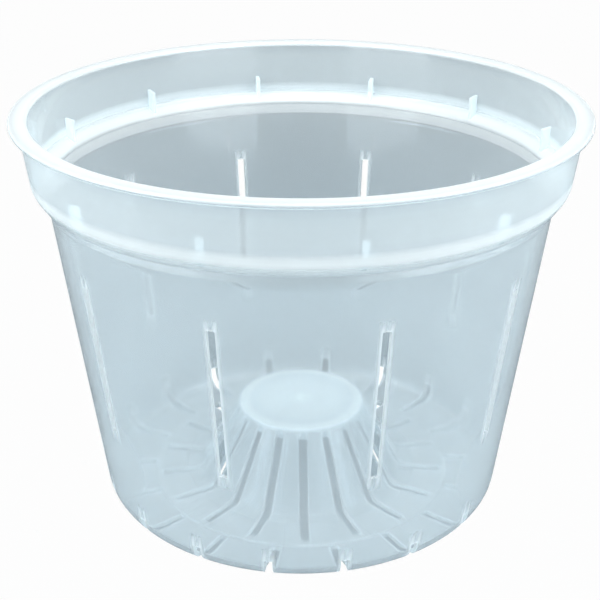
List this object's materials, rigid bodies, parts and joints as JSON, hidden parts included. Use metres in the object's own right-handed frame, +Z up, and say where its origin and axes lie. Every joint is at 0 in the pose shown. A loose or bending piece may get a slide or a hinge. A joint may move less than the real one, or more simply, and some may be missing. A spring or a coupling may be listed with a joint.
{
  "type": "slotted orchid pot",
  "caption": "Clear drafted plant pot with a flat lip, a stepped collar with nesting ribs, tall air slots in the wall, drain notches round the foot and a raised slotted centre cone.",
  "frame": {"origin": "on the ground, on the pot's axis: the centre of the bottom of the bounding box", "axes": "+Z up along the pot's axis out of its mouth; -Y towards the picture's front; +X to the right"},
  "size_m": [0.15, 0.15, 0.11],
  "materials": {
    "clear_polypropylene": "smooth, slightly frosted, translucent"
  },
  "bodies": {
    "root": {"rim_lip": "clear_polypropylene", "stacking_collar": "clear_polypropylene", "nesting_ledge": "clear_polypropylene", "slotted_wall": "clear_polypropylene", "foot_ring": "clear_polypropylene", "floor_ring": "clear_polypropylene", "centre_cone": "clear_polypropylene", "centre_disc": "clear_polypropylene", "nesting_rib_1": "clear_polypropylene", "nesting_rib_2": "clear_polypropylene", "nesting_rib_3": "clear_polypropylene", "nesting_rib_4": "clear_polypropylene", "nesting_rib_5": "clear_polypropylene", "nesting_rib_6": "clear_polypropylene", "nesting_rib_7": "clear_polypropylene", "nesting_rib_8": "clear_polypropylene", "nesting_rib_9": "clear_polypropylene", "nesting_rib_10": "clear_polypropylene", "nesting_rib_11": "clear_polypropylene", "nesting_rib_12": "clear_polypropylene"}
  },
  "joints": []
}
